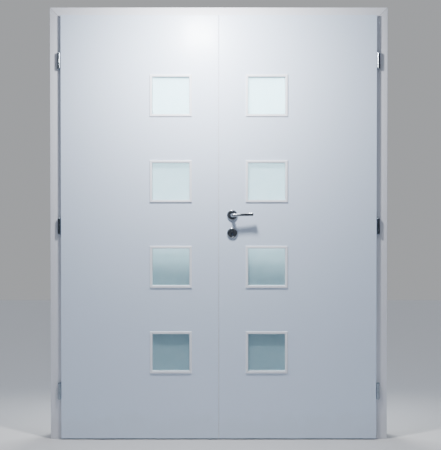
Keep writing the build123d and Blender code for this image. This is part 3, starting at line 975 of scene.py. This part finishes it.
def start_board(low, high):
    """A cube between two corners, in edit mode."""
    nothing_selected()
    middle = [(a + b) / 2 for a, b in zip(low, high)]
    bpy.ops.mesh.primitive_cube_add(size=1.0, location=middle, scale=[b - a for a, b in zip(low, high)])
    bpy.ops.object.transform_apply(location=True, rotation=True, scale=True)
    start_edit("FACE")


def cut_off(point, direction):
    """Bisect the whole mesh, drop what lies beyond the plane and close the cut."""
    bpy.ops.mesh.select_all(action="SELECT")
    bpy.ops.mesh.bisect(plane_co=point, plane_no=direction, use_fill=True, clear_outer=True)
    bpy.ops.mesh.select_all(action="SELECT")
    bpy.ops.mesh.dissolve_limited(angle_limit=radians(flat_angle))


def split(point, direction):
    """Bisect the whole mesh and keep both sides."""
    bpy.ops.mesh.select_all(action="SELECT")
    bpy.ops.mesh.bisect(plane_co=point, plane_no=direction)


def ease(test, offset, segments):
    """Bevel the edges whose two ends pass a test."""
    pick("edges", test)
    bpy.ops.mesh.bevel(offset=offset, segments=segments, profile=0.5, affect="EDGES")


def on_mitre(co):
    """Whether a point lies on the 45 degree cut of a top corner."""
    return near(frame_half - abs(co.x), frame_top - co.z)


def cut_mitres():
    """Cut both ends of a head board at 45 degrees."""
    for side in (-1.0, 1.0):
        cut_off((side * frame_half, 0.0, frame_top), (side, 0.0, -1.0))


def ease_board(face_y, sides, axis, edges):
    """Ease a board's mitres on its showing face, one side at a time, and then its two long edges."""
    for side in sides:
        ease(lambda co: near(co.y, face_y) and on_mitre(co) and co.x * side > 0.0, mitre_ease, 1)
    for edge in edges:
        ease(lambda co: near(co.y, face_y) and near(getattr(co, axis), edge), board_round, 3)
    close_up()


print("board helpers ready")

# %% Front casings
casing_width = 0.060
casing_depth = 0.012
strip_start = 0.030
strip_back = 0.028
inner_x = frame_half - casing_width
inner_z = frame_top - casing_width
rod_x = -0.014
rod_y = 0.011
socket_half = 0.006
socket_depth = 0.0195
cutter_spare = 0.010
socket_low = (rod_x - socket_half, rod_y - socket_half, inner_z - cutter_spare)
socket_high = (rod_x + socket_half, rod_y + socket_half, inner_z + socket_depth)

start_board((-frame_half, 0.0, 0.0), (-inner_x, casing_depth, frame_top))
split((strip_start - frame_half, 0.0, 0.0), (1.0, 0.0, 0.0))
pick("faces", lambda co: near(co.y, casing_depth) and co.x > strip_start - frame_half - touch)
push(0.0, strip_back - casing_depth, 0.0)
cut_off((-frame_half, 0.0, frame_top), (1.0, 0.0, 1.0))
ease_board(0.0, (-1.0,), "x", (-frame_half, -inner_x))
casing_left = hand_over("casing_board_left", "frame", "frame_lacquer", ["casing_left"])
mirrored_copy(casing_left, (-1.0, 1.0, 1.0), (0.0, 0.0, 0.0))
hand_over("casing_board_right", "frame", "frame_lacquer", ["casing_right"])

start_board((-frame_half, 0.0, inner_z), (frame_half, casing_depth, frame_top))
split((0.0, 0.0, frame_top - strip_start), (0.0, 0.0, 1.0))
pick("faces", lambda co: near(co.y, casing_depth) and co.z < frame_top - strip_start + touch)
push(0.0, strip_back - casing_depth, 0.0)
cut_mitres()
ease_board(0.0, (-1.0, 1.0), "z", (frame_top, inner_z))
head_board = bpy.context.object
start_board(socket_low, socket_high)
cut_with(head_board, bpy.context.object)
hand_over("casing_board_head", "frame", "frame_lacquer", ["casing_head"])

# %% [markdown]
# On the back of the frame the casings are plain flat boards, a little wider, with the same mitre.

# %% Back casings
back_width = 0.072
back_start = 0.116
back_end = 0.128
back_x = frame_half - back_width
back_z = frame_top - back_width

start_board((-frame_half, back_start, 0.0), (-back_x, back_end, frame_top))
cut_off((-frame_half, 0.0, frame_top), (1.0, 0.0, 1.0))
ease_board(back_end, (-1.0,), "x", (-frame_half, -back_x))
back_left = hand_over("back_board_left", "frame", "frame_lacquer", ["back_casing_left"])
mirrored_copy(back_left, (-1.0, 1.0, 1.0), (0.0, 0.0, 0.0))
hand_over("back_board_right", "frame", "frame_lacquer", ["back_casing_right"])

start_board((-frame_half, back_start, back_z), (frame_half, back_end, frame_top))
cut_mitres()
ease_board(back_end, (-1.0, 1.0), "z", (frame_top, back_z))
hand_over("back_board_head", "frame", "frame_lacquer", ["back_casing_head"])

# %% [markdown]
# ## Screws
#
# The lock's forend, the strike plate and the plates of the flush bolts sit in the meeting edges of
# the leaves and are each held by countersunk screws. They show as soon as a leaf opens. One screw
# head is modelled: a low disc with an eased rim, and a cross cut into it by two thin blocks. The
# rest are copies, moved along the edge.

# %% One screw head
screw_radius = 0.0042
screw_proud = 0.0004
screw_sink = 0.0012
cross_length = 0.0046
cross_width = 0.0010
cross_depth = 0.0009
screw_ease = 0.0003
meeting_edge_x = 0.0015
forend_top_screw = 1.120
forend_bottom_screw = 0.904

nothing_selected()
bpy.ops.mesh.primitive_circle_add(
    vertices=40,
    radius=screw_radius,
    fill_type="NGON",
    location=(meeting_edge_x + screw_sink, leaf_middle, forend_top_screw),
    rotation=(0.0, -pi / 2, 0.0),
)
bpy.ops.object.transform_apply(location=True, rotation=True, scale=True)
start_edit("FACE")
bpy.ops.mesh.select_all(action="SELECT")
push(-(screw_sink + screw_proud), 0.0, 0.0)
face_x = meeting_edge_x - screw_proud
ease(lambda co: near(co.x, face_x), screw_ease, 2)
close_up()
bpy.ops.object.mode_set(mode="OBJECT")
screw = bpy.context.object
for size_y, size_z in ((cross_length, cross_width), (cross_width, cross_length)):
    half = (cross_depth, size_y / 2, size_z / 2)
    centre = (face_x, leaf_middle, forend_top_screw)
    start_board([c - h for c, h in zip(centre, half)], [c + h for c, h in zip(centre, half)])
    cut_with(screw, bpy.context.object)
screw = hand_over("screw_forend_top", "right_leaf", "lock_steel", [])

# %% Copies of the screw


def screw_copy(name, body, turned, move):
    """Copy the screw, mirrored to the left leaf's edge if turned, and move it."""
    mirrored_copy(screw, (-1.0 if turned else 1.0, 1.0, 1.0), (0.0, 0.0, 0.0))
    bpy.ops.transform.translate(value=move)
    hand_over(name, body, "lock_steel", [])


drop = forend_bottom_screw - forend_top_screw
screw_copy("screw_forend_bottom", "right_leaf", False, (0.0, 0.0, drop))
screw_copy("screw_strike_top", "left_leaf", True, (0.0, 0.0, 0.0))
screw_copy("screw_strike_bottom", "left_leaf", True, (0.0, 0.0, drop))
for name, height in (
    ("screw_top_bolt_upper", 1.9085),
    ("screw_top_bolt_lower", 1.7345),
    ("screw_bottom_bolt_upper", 0.2295),
    ("screw_bottom_bolt_lower", 0.0555),
):
    screw_copy(name, "left_leaf", True, (0.0, rod_y - leaf_middle, height - forend_top_screw))

# %% [markdown]
# ## Sizes
#
# The dressed door has to stay inside the box round its solids. The box round the solids and the box
# round the dressed door are both written down, so that the two can be compared.

# %% Sizes and the end
visual_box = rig.bounds()
with open("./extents.json", "w") as size_file:
    json.dump({"cad": [list(c) for c in cad_box], "visual": [list(c) for c in visual_box]}, size_file)
